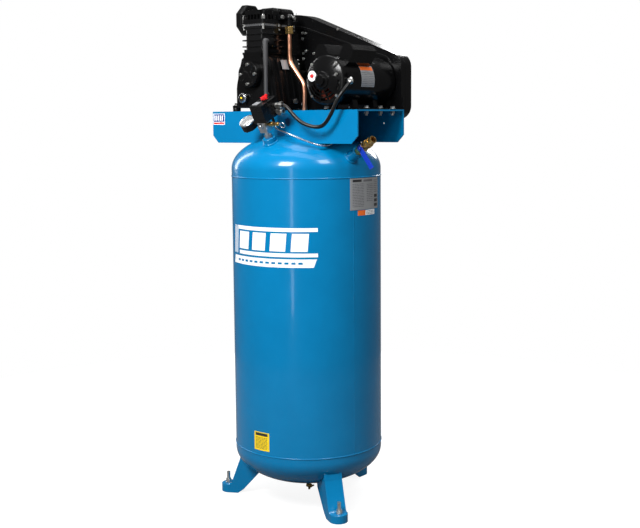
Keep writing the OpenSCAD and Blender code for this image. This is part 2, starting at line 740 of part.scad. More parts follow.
// Bolts of the front bell: offsets from the motor's axis and height of the seat on the bell
bell_bolts = [[50, 50, 15], [-50, 50, 15], [-50, -50, 15], [50, -50, 15], [54, 17, 20]];
module motor_front_bell() {
    color(black) difference() {
        union() {
            translate([motor_x, bell_back, motor_z]) rotate([90, 0, 0]) rotate_extrude($fn = 96)
                polygon([[0, 0], [motor_r + 1, 0], [motor_r + 1, 12], [75, 15], [68, 18], [52, 24], [34, 28],
                         [27, 29], [27, 32], [25, 34], [17, 35], [17, 42], [15, 44], [0, 44]]);
            rod_y(button_x, button_z, motor_y0 - 18.5, motor_y0 - 2, 21.5);
        }
        translate([motor_x, bell_back, motor_z]) rotate([90, 0, 0]) rotate_extrude($fn = 96)
            polygon([[0, -1], [72, -1], [72, 9], [66, 13], [50, 19], [32, 23], [0, 23]]);
        rod_y(motor_x, motor_z, motor_y0 - 22, motor_y0, shaft_r + fit);
        for (a = [200:29:287], r = [34, 46, 58])
            vent_arc(a, a + 25, r, r + 8, motor_y0 - 24, motor_y0 + 10);
        vent_arc(329, 358, 58, 64.5, motor_y0 - 24, motor_y0 + 10);
        for (q = bell_bolts)
            rod_y(motor_x + q[0], motor_z + q[1], bell_back - 40, bell_back - q[2], 5.4);
        rod_y(button_x, button_z, motor_y0 - 19, motor_y0 + 10, 6.3);
    }
}
module motor_rear_bell() {
    color(black) difference() {
        union() {
            rod_y(motor_x, motor_z, motor_y1 - 14, motor_y1, motor_r + 1);
            rod_y(motor_x, motor_z, motor_y1, motor_y1 + 6, 24);
        }
        rod_y(motor_x, motor_z, motor_y1 - 15, motor_y1 - 5, motor_r - 5);
        rod_y(motor_x, motor_z, motor_y1 - 6, motor_y1 + 7, shaft_r + fit);
        for (a = [20:40:340])
            vent_arc(a, a + 26, 38, 60, motor_y1 - 6, motor_y1 + 1);
    }
}
module motor_base() {
    color(black) difference() {
        union() {
            box([motor_x - 82, -60, plat_top], [motor_x + 82, 94, plat_top + 5]);
            for (y = [-50, 58])
                along_y(y, y + 26) polygon([for (q = [[-50, plat_top + 4], [-44, 1392], [44, 1392],
                    [50, plat_top + 4]]) [motor_x + q[0], q[1]]]);
        }
        rod_y(motor_x, motor_z, -61, 95, motor_r);
        for (y = [-50, 58])
            along_y(y - 1, y + 27) polygon([for (q = [[-36, plat_top + 5], [-32, 1372], [32, 1372],
                [36, plat_top + 5]]) [motor_x + q[0], q[1]]]);
        for (p = motor_holes)
            translate([motor_x + p[0], p[1], plat_top - 1]) cylinder(h = 8, r = 5);
    }
}
// Outlines of the two capacitor covers, from the motor's axis
left_cover = [[-60, 30], [-66, 60], [-64.7, 85], [-61.3, 99.5], [-49.8, 116], [-25.1, 114.5],
              [-21.9, 111], [-5.4, 82.4], [-5, 50]];
right_cover = [[37, 50], [37, 76], [53, 112], [81, 109.5], [96, 92], [76, 54], [56, 40]];
module capacitor_cover(pts, y0, y1) {
    difference() {
        translate([motor_x, 0, motor_z]) along_y(y0, y1) polygon(pts);
        rod_y(motor_x, motor_z, y0 - 1, y1 + 1, motor_r);
        translate([motor_x, 0, motor_z]) along_y(y0 + 3, y1 - 3) offset(delta = -3) polygon(pts);
    }
}
module capacitor_covers() {
    color(black) {
        capacitor_cover(left_cover, -105, 15);
        capacitor_cover(right_cover, -105, 15);
    }
}
module reset_button() {
    color([0.8, 0.1, 0.08]) {
        rod_y(button_x, button_z, motor_y0 - 22.5, motor_y0 - 1.5, 6);
        rod_y(button_x, button_z, motor_y0 - 4.5, motor_y0 - 1.5, 8);
    }
}
module stator() {
    color([0.6, 0.3, 0.2]) difference() {
        union() {
            rod_y(motor_x, motor_z, -66, 70, motor_r - 4);
            rod_y(motor_x, motor_z, -92, 96, 66);
        }
        rod_y(motor_x, motor_z, -93, 97, 45);
    }
}
module rotor() {
    color(steel) {
        rod_y(motor_x, motor_z, -66, 70, 44);
        rod_y(motor_x, motor_z, motor_y0 - 20, 197, shaft_r);
        rod_y(motor_x, motor_z, 102, 106, 62);
        for (a = [0:45:315])
            translate([motor_x, 0, motor_z]) rotate([0, a, 0]) box([20, 105, -1.5], [60, 118, 1.5]);
    }
}
module motor_gland() {
    color(steel) translate(gland_at) rotate([135, 0, 0]) difference() {
        union() {
            translate([0, 0, 3]) cylinder(h = 26, r = 8.1);
            translate([0, 0, 16.5]) hex(19, 7);
        }
        translate([0, 0, 19.5]) cylinder(h = 22, r = lead_d / 2 + 0.3);
    }
}

// ---- Belt guard ----
guard_seam = 170;
module guard_outline(inset) {
    hull() {
        translate([pump_x, crank_z]) circle(r = 215 - inset, $fn = 96);
        translate([248, 1488]) circle(r = 45 - inset, $fn = 64);
        translate([249, 1359]) circle(r = 44 - inset, $fn = 64);
    }
}
module guard_ridge() {
    difference() {
        hull() {
            translate([pump_x, crank_z]) circle(r = 176, $fn = 96);
            translate([212, 1488]) circle(r = 40, $fn = 64);
            translate([205, 1362]) circle(r = 40, $fn = 64);
        }
        hull() {
            translate([pump_x, crank_z]) circle(r = 168, $fn = 96);
            translate([212, 1488]) circle(r = 32, $fn = 64);
            translate([205, 1362]) circle(r = 32, $fn = 64);
        }
    }
}
module guard_front_panel() {
    color(black) difference() {
        union() {
            difference() {
                along_y(guard_y0, guard_seam) guard_outline(0);
                along_y(guard_y0 + guard_t, guard_seam + 1) guard_outline(guard_t);
            }
            along_y(guard_y0 - 2.5, guard_y0 + 0.5) guard_ridge();
        }
        rod_y(pump_x, crank_z, guard_y0 - 1, guard_y0 + guard_t + 1, 60);
        rod_y(motor_x, motor_z, guard_y0 - 1, guard_y0 + guard_t + 1, 40);
    }
}
module guard_rear_shell() {
    color(black) difference() {
        along_y(guard_seam, guard_y1) guard_outline(0);
        along_y(guard_seam - 1, guard_y1 - guard_t) guard_outline(guard_t);
        for (i = [-5:5])
            box([pump_x - 95, guard_y1 - 5, crank_z + i * 22 - 5],
                [pump_x + 95, guard_y1 + 1, crank_z + i * 22 + 5]);
        for (i = [-2:2])
            box([motor_x - 45, guard_y1 - 5, motor_z + i * 20 - 5],
                [motor_x + 45, guard_y1 + 1, motor_z + i * 20 + 5]);
    }
}
guard_screws = [[25, 1624], [-135, 1620], [-123, 1618], [-135, 1600], [-132, 1549], [-120, 1556],
                [-132, 1530], [-84, 1546]];
module guard_brackets() {
    color(steel) {
        difference() {
            union() {
                box([270, 96, plat_top], [302, guard_y0, plat_top + 3]);
                box([270, guard_y0 - 3, plat_top], [302, guard_y0, plat_top + 42]);
            }
            translate([bracket_hole[0], bracket_hole[1], plat_top - 1]) cylinder(h = 6, r = 5);
        }
        box([pump_x - 100, case_y1 + 5, base_z], [pump_x - 60, guard_y0, base_z + 3]);
        box([pump_x - 100, guard_y0 - 3, base_z], [pump_x - 60, guard_y0, base_z + 40]);
        for (q = guard_screws)
            translate([q[0], guard_y0, q[1]]) rotate([90, 0, 0]) hex(9, 4);
    }
}

// ---- Controls on the front of the tank's top ----
port_z = 70;                // distance of the gauge's port from the tank along the fittings' axis
safety_z = 67;               // distance of the safety valve from the tank along the same axis
switch_z0 = 82;
switch_z1 = 141;
switch_x0 = -16.5;
switch_x1 = 34.5;
switch_y0 = -25;
switch_y1 = 57;
module manifold() {
    color(brass) at_switch() {
        difference() {
            union() {
                cylinder(h = 32, r = bung_bore_r - 0.1);
                translate([0, 0, bung_len / 2 + switch_bung_rise]) hex(22, 10);
                translate([0, 0, 28]) cylinder(h = 16, r = 8.6);
                box([-15, -15, 42], [17, 15, 80]);
                translate([4, 0, 79]) cylinder(h = 3, r = 9);
            }
            translate([0, 0, -1]) cylinder(h = 70, r = 5);
            translate([0, 0, port_z]) rod_x(-16, 0, 3);
            translate([0, 0, safety_z]) rod_x(0, 18, 4);
        }
        translate([-3, -15, 65]) rotate([90, 0, 0]) hex(17, 6);
        translate([-3, -20, 65]) rotate([90, 0, 0]) cylinder(h = 3, r = 6);
    }
}
gauge_x = -68;
gauge_tilt = 15;
gauge_r = 28.5;
module at_gauge() {
    at_switch() translate([gauge_x, 0, port_z]) rotate([gauge_tilt, 0, 0]) children();
}
module gauge_case() {
    color(black) at_gauge() difference() {
        union() {
            translate([0, 0, -15]) cylinder(h = 27, r = gauge_r);
            rod_x(gauge_r - 2, -15 - gauge_x, 4.9);
        }
        translate([0, 0, -4]) cylinder(h = 17, r = gauge_r - 3);
        translate([0, 0, -10]) cylinder(h = 7, r = 1.5 + fit);
    }
}
module gauge_needle() {
    color([0.1, 0.1, 0.1]) at_gauge() {
        translate([0, 0, -8]) cylinder(h = 11, r = 1.5);
        translate([0, 0, 0]) cylinder(h = 2, r = 3.5);
        translate([0, 0, 0.5]) rotate([0, 0, 225]) translate([-6, -0.6, 0]) cube([26, 1.2, 1]);
    }
}
module safety_valve() {
    color(brass) at_switch() translate([0, 0, safety_z]) difference() {
        union() {
            rod_x(10, 30, 3.9);
            rod_x(17, 26, 5.5);
            rod_x(25, 38, 8);
            rod_x(38, 60, 6.6);
            rod_x(60, 66, 4.5);
        }
        rod_x(46, 70, 2 + fit);
    }
}
module safety_pull() {
    color(steel) at_switch() translate([0, 0, safety_z]) {
        rod_x(50, 70.5, 2);
        rod_x(66.4, 70, 3.5);
        translate([77.5, 0, -4.5]) rotate([90, 0, 0]) rotate_extrude()
            translate([9, 0]) circle(r = 1.1, $fn = 24);
    }
}
fitting_at = [28, 17];
module pressure_switch() {
    color(black) at_switch() {
        box([switch_x0 - 1.5, switch_y0, switch_z0], [switch_x1, switch_y1, switch_z0 + 8]);
        box([switch_x0, switch_y0 + 1.5, switch_z0 + 8], [switch_x1, switch_y1 - 1.5, switch_z1]);
        translate([16, 24, switch_z1]) cylinder(h = 4, r = 13);
        translate([fitting_at[0], fitting_at[1], switch_z0 - 14]) cylinder(h = 15, r = 5);
    }
}
module switch_knob() {
    color([0.85, 0.1, 0.08]) at_switch() translate([16, 24, switch_z1 + 4.3]) {
        cylinder(h = 9, r = 8);
        rotate([0, 0, 20]) box([-4, -2, 1], [4, 19, 9]);
        rotate([0, 0, 150]) box([-3, 2, 1], [3, 13, 9]);
        rotate([0, 0, 250]) box([-3, 2, 1], [3, 13, 9]);
    }
}
connector_places = [[46, 111.5], [42, 92]];
module cable_connectors() {
    color(steel) at_switch() for (c = connector_places) translate([switch_x1, c[0], c[1]]) difference() {
        union() {
            rod_x(0, 5, 9.5);
            rod_x(4, 27, 8.6);
            box([8, -12, -8], [22, 12, -3]);
            box([8, -12, 3], [22, 12, 8]);
        }
        rod_x(7, 40, lead_d / 2 + 0.3);
    }
}
// The lead hangs between the pressure switch and the motor.
lead_route = [[42.5, -185.54, 1361.38], [52, -185.54, 1361.38], [61, -185.5, 1361.2], [71, -185.2, 1358.4],
              [81, -184.7, 1352.2], [91, -183.9, 1343.6], [101, -183, 1334], [112, -181.8, 1323.5],
              [123.5, -180.4, 1313.8], [136, -178.7, 1305.8], [151, -176, 1299], [168, -171.5, 1293.6],
              [187, -165.5, 1291], [204, -161, 1294],
              [218, -160, 1303], [230, -160, 1316], [243, -160, 1334], [255, -159, 1355],
              [267, -157, 1377], [276, -150, 1395], [281, -139, 1409.5], [283, -124.1, 1423.9],
              [283, -114.2, 1433.8]];
module power_lead() {
    color(black) sweep(lead_route, lead_d / 2, 10, 3, [0.5, 1, -0.2]);
}
unloader_route = [[28, -192.5, 1309.6], [28, -189, 1302.4], [29, -188.2, 1295.5], [34, -189, 1288.5],
                  [45, -191.7, 1284], [60, -195, 1280], [80, -197.5, 1274.3], [102, -196, 1267.3],
                  [131, -181, 1254], [162, -160, 1239.8],
                  [178, -142, 1232.5], [186, -119, 1230.8], [190, -95, 1236], [180, -60, 1255],
                  [150, -25, 1274], [112, 8, 1288], [70, 34, 1292], [20, 43, 1292],
                  [-8, 43, 1292], [-21, 43, 1292]];
module unloader_tube() {
    color([0.75, 0.8, 0.85]) sweep(unloader_route, 3.1, 8, 4, [0, 0, 1]);
}

// ---- Outlet ball valve ----
valve_z = 75;               // distance of the ball from the tank along the valve's axis
ball_r = 11;
module outlet_valve() {
    color(brass) at_valve() difference() {
        union() {
            translate([0, 0, 18]) cylinder(h = 24, r = bung_bore_r - 0.1);
            translate([0, 0, 40]) hex(27, 16);
            translate([0, 0, 55]) cylinder(h = 40, r = 15.5);
            translate([0, 0, 92]) hex(27, 16);
            translate([0, 0, 106]) cylinder(h = 18, r = 12.5);
            translate([0, 0, valve_z]) rotate([90, 0, 0]) cylinder(h = 19, r = 7.5);
        }
        translate([0, 0, 17]) cylinder(h = 108, r = 7);
        translate([0, 0, 100]) cylinder(h = 25, r = 9.3);
        translate([0, 0, valve_z]) sphere(r = ball_r + 0.3);
        translate([0, 0, valve_z]) rotate([90, 0, 0]) cylinder(h = 25, r = 4 + fit);
    }
}
module outlet_lever() {
    color([0.1, 0.3, 0.75]) at_valve() translate([0, 0, valve_z]) {
        difference() {
            sphere(r = ball_r);
            rod_x(-20, 20, 6);
        }
        translate([0, -9, 0]) rotate([90, 0, 0]) cylinder(h = 20, r = 4);
        box([-9, -23, -8], [40, -20, 8]);
        box([12, -25, -7], [75, -18, 7]);
        translate([0, -22.5, 0]) rotate([90, 0, 0]) hex(11, 6);
    }
}
// Thin plates: one around the tank below the outlet, and one on the side of the crankcase
plate_low = 1021;
plate_top = 1124;
module data_plate() {
    color(steel) {
        translate([0, 0, plate_low]) rotate([0, 0, -15.7]) rotate_extrude(angle = 35.2, $fn = 96)
            translate([tank_r, 0]) square([0.6, plate_top - plate_low]);
        along_y(1, 43) polygon([for (q = [[56.61, 1522], [57.76, 1522.35], [69.33, 1484.35], [68.17, 1484]])
            [pump_x + q[0], q[1]]]);
    }
}

tank_shell();
top_head();
bottom_head();
tank_bungs();
leg_front_left();
leg_front_right();
leg_rear();
foot_bolts();
platform();
drain_cock();
drain_key();
crankcase();
bearing_cover();
pump_fasteners();
oil_sight_glass();
breather_tube();
mounting_bolts();
cylinder_block();
valve_plate();
cylinder_head();
filter_base();
filter_cover();
filter_element();
discharge_elbow();
tube_nuts();
discharge_tube();
check_valve();
crankshaft();
con_rod_front();
con_rod_rear();
pistons();
crank_bearings();
flywheel();
drive_belt();
motor_shell();
motor_front_bell();
motor_rear_bell();
motor_base();
capacitor_covers();
reset_button();
stator();
rotor();
motor_pulley();
motor_gland();
guard_front_panel();
guard_rear_shell();
guard_brackets();
manifold();
gauge_case();
gauge_needle();
safety_valve();
safety_pull();
pressure_switch();
switch_knob();
cable_connectors();
power_lead();
unloader_tube();
outlet_valve();
outlet_lever();
data_plate();
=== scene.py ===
# Looks for the vertical tank compressor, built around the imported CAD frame. Metres, row frame.
import json
import math

import bmesh
import bpy
from mathutils import Matrix, Vector


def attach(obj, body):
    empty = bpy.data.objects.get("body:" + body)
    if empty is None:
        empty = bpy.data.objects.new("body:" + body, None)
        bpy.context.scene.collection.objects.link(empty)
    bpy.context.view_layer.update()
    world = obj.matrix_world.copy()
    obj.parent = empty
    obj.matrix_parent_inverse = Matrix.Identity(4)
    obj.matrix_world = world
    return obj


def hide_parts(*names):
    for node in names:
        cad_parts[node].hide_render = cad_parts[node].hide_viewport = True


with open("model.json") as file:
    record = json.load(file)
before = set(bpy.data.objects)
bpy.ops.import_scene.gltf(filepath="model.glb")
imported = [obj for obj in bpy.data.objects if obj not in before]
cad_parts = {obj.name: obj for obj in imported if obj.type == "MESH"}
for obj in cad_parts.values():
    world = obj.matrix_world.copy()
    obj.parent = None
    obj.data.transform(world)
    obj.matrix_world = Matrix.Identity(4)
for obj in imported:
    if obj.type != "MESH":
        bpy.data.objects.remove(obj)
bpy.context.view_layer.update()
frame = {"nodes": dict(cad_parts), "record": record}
nodes = frame["nodes"]
slot_of = {s["node"]: s["material_slot"] for s in frame["record"]["subparts"]}
body_of = {n: b for b, members in frame["record"]["behaviour"]["bodies"].items() for n in members}
scene = bpy.context.scene
MM = 0.001


# ---------------------------------------------------------------- camera
def camera():
    data = bpy.data.cameras.new("camera")
    cam = bpy.data.objects.new("camera", data)
    scene.collection.objects.link(cam)
    az, pan, tilt, roll = (math.radians(a) for a in (40.58, 0.693, 6.78, 0.471))
    right = Vector((math.cos(az), math.sin(az), 0))
    ahead = Vector((-math.sin(az), math.cos(az), 0))
    up = Vector((0, 0, 1))
    right_p = right * math.cos(pan) - ahead * math.sin(pan)
    ahead_p = right * math.sin(pan) + ahead * math.cos(pan)
    up_t = ahead_p * math.sin(tilt) + up * math.cos(tilt)
    look = ahead_p * math.cos(tilt) - up * math.sin(tilt)
    cam_right = right_p * math.cos(roll) - up_t * math.sin(roll)
    cam_up = right_p * math.sin(roll) + up_t * math.cos(roll)
    turn = Matrix((cam_right, cam_up, -look)).transposed().to_4x4()
    cam.matrix_world = Matrix.Translation((2.4117, -2.8157, 1.3092)) @ turn
    data.sensor_width = 36
    data.lens = 60.93
    data.shift_y = -0.0219
    data.clip_end = 60
    scene.camera = cam


camera()


def linear(c):
    return tuple(x / 12.92 if x <= 0.04045 else ((x + 0.055) / 1.055) ** 2.4 for x in c)


# ---------------------------------------------------------------- materials
def material(name, base, rough=0.4, metal=0.0, bump=None, mottle=0.0, rough_var=0.0, coat=0.0,
             second=None, patch_scale=12.0, spec=0.5, alpha=1.0, transmission=0.0):
    """base and second are linear colours. bump is (scale, strength, distance)."""
    m = bpy.data.materials.new(name)
    m.use_nodes = True
    nt = m.node_tree
    shader = nt.nodes["Principled BSDF"]
    shader.inputs["Base Color"].default_value = (*base, 1)
    shader.inputs["Roughness"].default_value = rough
    shader.inputs["Metallic"].default_value = metal
    shader.inputs["Coat Weight"].default_value = coat
    shader.inputs["Coat Roughness"].default_value = 0.06
    shader.inputs["Specular IOR Level"].default_value = spec
    shader.inputs["Transmission Weight"].default_value = transmission
    shader.inputs["Alpha"].default_value = alpha
    coords = nt.nodes.new("ShaderNodeTexCoord")
    noise = nt.nodes.new("ShaderNodeTexNoise")
    noise.inputs["Scale"].default_value = patch_scale
    noise.inputs["Detail"].default_value = 6
    nt.links.new(coords.outputs["Object"], noise.inputs["Vector"])
    if mottle or second:
        ramp = nt.nodes.new("ShaderNodeValToRGB")
        low = second or tuple(c * (1 - mottle) for c in base)
        high = base if second else tuple(min(1, c * (1 + mottle)) for c in base)
        ramp.color_ramp.elements[0].position = 0.35
        ramp.color_ramp.elements[1].position = 0.65
        ramp.color_ramp.elements[0].color = (*low, 1)
        ramp.color_ramp.elements[1].color = (*high, 1)
        nt.links.new(noise.outputs["Fac"], ramp.inputs["Fac"])
        nt.links.new(ramp.outputs["Color"], shader.inputs["Base Color"])
    if rough_var:
        span = nt.nodes.new("ShaderNodeMapRange")
        span.inputs["To Min"].default_value = max(0, rough - rough_var)
        span.inputs["To Max"].default_value = min(1, rough + rough_var)
        nt.links.new(noise.outputs["Fac"], span.inputs["Value"])
        nt.links.new(span.outputs["Result"], shader.inputs["Roughness"])
    if bump:
        grain = nt.nodes.new("ShaderNodeTexNoise")
        grain.inputs["Scale"].default_value = bump[0]
        grain.inputs["Detail"].default_value = 4
        nt.links.new(coords.outputs["Object"], grain.inputs["Vector"])
        b = nt.nodes.new("ShaderNodeBump")
        b.inputs["Strength"].default_value = bump[1]
        b.inputs["Distance"].default_value = bump[2]
        nt.links.new(grain.outputs["Fac"], b.inputs["Height"])
        nt.links.new(b.outputs["Normal"], shader.inputs["Normal"])
    return m


BLUE = (0.0, 0.155, 0.35)
M = {
    "tank_paint": material("tank_paint", BLUE, 0.24, bump=(60, 0.05, 0.002), mottle=0.03,
                           rough_var=0.04, coat=0.3, spec=0.18),
    "black_paint": material("black_paint", (0.0028, 0.0028, 0.003), 0.2, bump=(500, 0.08, 0.0004),
                            mottle=0.12, rough_var=0.05, spec=0.2),
    "black_casting": material("black_casting", (0.0025, 0.0025, 0.0027), 0.24, bump=(350, 0.35, 0.0008),
                              mottle=0.2, rough_var=0.08, spec=0.24),
    "bright_steel": material("bright_steel", (0.62, 0.63, 0.65), 0.26, 1.0, bump=(900, 0.1, 0.0004),
                             mottle=0.08, rough_var=0.08),
    "zinc": material("zinc", (0.6, 0.6, 0.58), 0.3, 1.0, bump=(700, 0.15, 0.0005), mottle=0.15,
                     rough_var=0.1, patch_scale=60),
    "brass": material("brass", (0.58, 0.38, 0.13), 0.27, 1.0, bump=(600, 0.15, 0.0005), mottle=0.15,
                      rough_var=0.1, patch_scale=50),
    "copper": material("copper", (0.6, 0.29, 0.18), 0.34, 1.0, bump=(300, 0.08, 0.0005), mottle=0.1,
                       rough_var=0.08, patch_scale=35),
    "black_plastic": material("black_plastic", (0.003, 0.003, 0.0032), 0.28, bump=(1200, 0.2, 0.0003),
                              mottle=0.1, rough_var=0.06, spec=0.24),
    "rubber": material("rubber", (0.004, 0.004, 0.004), 0.34, bump=(900, 0.2, 0.0004), mottle=0.15,
                       rough_var=0.08, spec=0.26),
    "red_plastic": material("red_plastic", (0.62, 0.01, 0.012), 0.28, bump=(500, 0.1, 0.0004),
                            mottle=0.06, rough_var=0.05, coat=0.3),
    "blue_sleeve": material("blue_sleeve", (0.004, 0.035, 0.42), 0.25, bump=(300, 0.12, 0.0006),
                            mottle=0.06, rough_var=0.05, coat=0.4),
    "windings": material("windings", (0.35, 0.06, 0.03), 0.45, bump=(700, 0.8, 0.0015), mottle=0.3,
                         patch_scale=200),
    "filter_foam": material("filter_foam", (0.6, 0.5, 0.3), 0.85, bump=(800, 1.0, 0.002), mottle=0.2,
                            patch_scale=300),
    "sight": material("sight", (0.45, 0.36, 0.14), 0.15, mottle=0.15, coat=0.8, patch_scale=80),
}
X = {
    "white": material("white_print", (0.86, 0.88, 0.9), 0.35, mottle=0.02, rough_var=0.05),
    "silver": material("silver_print", (0.33, 0.34, 0.35), 0.42, 0.35, mottle=0.06, rough_var=0.08,
                       bump=(900, 0.05, 0.0003)),
    "grey": material("grey_print", (0.12, 0.12, 0.13), 0.4, mottle=0.1, rough_var=0.05),
    "dark": material("dark_print", (0.02, 0.02, 0.022), 0.4, mottle=0.1, rough_var=0.05),
    "yellow": material("yellow_print", (0.85, 0.6, 0.01), 0.35, mottle=0.04, rough_var=0.05),
    "orange": material("orange_print", (0.8, 0.15, 0.02), 0.35, mottle=0.04, rough_var=0.05),
    "red": material("red_print", (0.6, 0.02, 0.02), 0.35, mottle=0.04, rough_var=0.05),
    "navy": material("navy_print", (0.02, 0.04, 0.2), 0.35, mottle=0.04, rough_var=0.05),
    "dial": material("dial_face", (0.5, 0.5, 0.49), 0.45, mottle=0.02),
    "galvanised": material("galvanised", (0.58, 0.6, 0.62), 0.32, 1.0, bump=(400, 0.3, 0.0006),
                           mottle=0.15, rough_var=0.1, patch_scale=50),
    "glass": material("lens", (1, 1, 1), 0.03, spec=0.6, alpha=0.14, mottle=0.005),
    "dark_glass": material("dark_glass", (0.02, 0.02, 0.018), 0.06, mottle=0.1, coat=0.6),
    "hose": material("hose_rubber", (0.03, 0.03, 0.032), 0.55, bump=(700, 0.3, 0.0005), mottle=0.1),
    "tube": material("tube_steel", (0.5, 0.58, 0.68), 0.22, 1.0, bump=(400, 0.06, 0.0003), mottle=0.06,
                     rough_var=0.06),
    "gloss": material("gloss_black", (0.004, 0.004, 0.0043), 0.13, bump=(300, 0.08, 0.0004), mottle=0.15,
                      rough_var=0.04, spec=0.4),
}


# ---------------------------------------------------------------- mesh helpers
def make(name, verts, faces, mats, body, index=None, smooth=None):
    """A mesh piece. smooth is the angle in degrees under which an edge is shaded smooth."""
    me = bpy.data.meshes.new(name)
    me.from_pydata([tuple(v) for v in verts], [], faces)
    for m in (mats if isinstance(mats, (list, tuple)) else [mats]):
        me.materials.append(m)
    if index:
        for p, i in zip(me.polygons, index):
            p.material_index = i
    me.validate()
    me.update()
    ob = bpy.data.objects.new(name, me)
    scene.collection.objects.link(ob)
    if smooth:
        me.shade_smooth()
        me.set_sharp_from_angle(angle=math.radians(smooth))
    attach(ob, body)
    return ob


def bevel(ob, width, segments=2, angle=35):
    mod = ob.modifiers.new("edge", "BEVEL")
    mod.width = width
    mod.segments = segments
    mod.limit_method = "ANGLE"
    mod.angle_limit = math.radians(angle)
    mod.use_clamp_overlap = True
    mod.harden_normals = True
    return ob


def soften(node, width=0.0008, mat=None, segments=2, angle=35, smooth=32):
    """A copy of a CAD node with its flat faces joined up and its edges rounded."""
    src = nodes[node].data
    bm = bmesh.new()
    bm.from_mesh(src)
    bmesh.ops.remove_doubles(bm, verts=bm.verts, dist=0.00001)
    bmesh.ops.dissolve_limit(bm, angle_limit=math.radians(0.6), verts=bm.verts, edges=bm.edges)
    me = bpy.data.meshes.new(node + "_skin")
    bm.to_mesh(me)
    bm.free()
    me.materials.clear()
    me.materials.append(mat or M[slot_of[node]])
    me.polygons.foreach_set("material_index", [0] * len(me.polygons))
    ob = bpy.data.objects.new(node + "_skin", me)
    scene.collection.objects.link(ob)
    me.shade_smooth()
    me.set_sharp_from_angle(angle=math.radians(smooth))
    bevel(ob, width, segments, angle)
    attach(ob, body_of[node])
    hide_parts(node)
    return ob


def lathe(name, profile, mat, body, place=Matrix.Identity(4), sides=160, smooth=30):
    """A closed outline of (radius, height) points turned about the local Z axis."""
    verts, faces = [], []
    n = len(profile)
    for i in range(sides):
        a = 2 * math.pi * i / sides
        verts += [place @ Vector((r * math.cos(a), r * math.sin(a), z)) for r, z in profile]
    for i in range(sides):
        j = (i + 1) % sides
        faces += [(i * n + k, j * n + k, j * n + (k + 1) % n, i * n + (k + 1) % n) for k in range(n)]
    return make(name, verts, faces, mat, body, smooth=smooth)


def ring_points(centre, ahead, up, radius, sides):
    u = ahead.cross(up).normalized()
    v = ahead.cross(u).normalized()
    angles = [2 * math.pi * k / sides for k in range(sides)]
    return [centre + radius * (math.cos(a) * u + math.sin(a) * v) for a in angles]


def bead(name, path, radius, mat, body, closed=False, ripple=0.12, pitch=3):
    """A weld bead along a path, with the small ripples that welding leaves."""
    n, sides = len(path), 8
    verts, faces = [], []
    for i, p in enumerate(path):
        a = path[(i - 1) % n] if closed or i else path[0]
        b = path[(i + 1) % n] if closed or i < n - 1 else path[-1]
        ahead = (b - a).normalized()
        up = Vector((0, 0, 1)) if abs(ahead.z) < 0.9 else Vector((1, 0, 0))
        size = radius * (1 + ripple * math.sin(2 * math.pi * i / pitch))
        verts += ring_points(p, ahead, up, size, sides)
    for i in range(n if closed else n - 1):
        j = (i + 1) % n
        faces += [(i * sides + k, i * sides + (k + 1) % sides, j * sides + (k + 1) % sides, j * sides + k)
                  for k in range(sides)]
    if not closed:
        faces += [tuple(range(sides))[::-1], tuple((n - 1) * sides + k for k in range(sides))]
    return make(name, verts, faces, mat, body, smooth=60)


def curve_tube(name, points, radius, mat, body, res=8, sides=6):
    """A round tube on a smooth curve through the points."""
    cu = bpy.data.curves.new(name, "CURVE")
    cu.dimensions = "3D"
    sp = cu.splines.new("POLY")
    sp.points.add(len(points) - 1)
    for p, q in zip(sp.points, points):
        p.co = (*q, 1)
    cu.bevel_depth = radius
    cu.bevel_resolution = sides
    cu.use_fill_caps = True
    cu.materials.append(mat)
    sp.use_smooth = True
    ob = bpy.data.objects.new(name, cu)
    scene.collection.objects.link(ob)
    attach(ob, body)
    return ob


def smooth_route(pts, n):
    """The same curve through the same points as the CAD part's."""
    out = []
    for i in range(len(pts) - 1):
        a, b, c, d = (Vector(pts[max(i - 1, 0)]), Vector(pts[i]), Vector(pts[i + 1]),
                      Vector(pts[min(i + 2, len(pts) - 1)]))
        for k in range(n):
            t = k / n
            out.append(0.5 * (2 * b + (c - a) * t + (2 * a - 5 * b + 4 * c - d) * t * t
                              + (3 * b - a - 3 * c + d) * t * t * t) * MM)
    out.append(Vector(pts[-1]) * MM)
    return out


# ---------------------------------------------------------------- power lead
LEAD = [(42.5, -185.54, 1361.38), (52, -185.54, 1361.38), (61, -185.5, 1361.2), (71, -185.2, 1358.4),
        (81, -184.7, 1352.2), (91, -183.9, 1343.6), (101, -183, 1334), (112, -181.8, 1323.5),
        (123.5, -180.4, 1313.8), (136, -178.7, 1305.8), (151, -176, 1299), (168, -171.5, 1293.6),
        (187, -165.5, 1291), (204, -161, 1294), (218, -160, 1303), (230, -160, 1316),
        (243, -160, 1334), (255, -159, 1355), (267, -157, 1377), (276, -150, 1395),
        (281, -139, 1409.5), (283, -124.1, 1423.9), (283, -114.2, 1433.8)]
lead_path = smooth_route(LEAD, 6)
lead = curve_tube("lead", lead_path, 0.0062, M["rubber"], "compressor")
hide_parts("power_lead")

# ---------------------------------------------------------------- tank
R = 0.254
WALL = 0.004
SEAM_TOP, SEAM_LOW = 1.127, 0.205  # heights of the round welds
TAN_TOP, TAN_LOW = 1.152, 0.186  # heights where the dished heads begin
AXIS_GAP = 0.0004  # radius left open on the axis, so that the lathe makes no zero-width faces


HEAD_TOP, HEAD_LOW = 0.125, 0.120  # depth of the dished heads


def arc(r, depth, n=36):
    """A quarter of an ellipse, from the rim in to the axis."""
    return [(r * math.cos(math.pi / 2 * i / n), depth * math.sin(math.pi / 2 * i / n))
            for i in range(n + 1)]


def shell(steps=24):
    outer = [(R, SEAM_LOW + (SEAM_TOP - SEAM_LOW) * i / steps) for i in range(steps + 1)]
    inner = [(R - WALL, SEAM_TOP), (R - WALL, SEAM_LOW)]
    ob = lathe("tank_shell_skin", outer + inner, M["tank_paint"], "compressor")
    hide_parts("tank_shell")


shell()


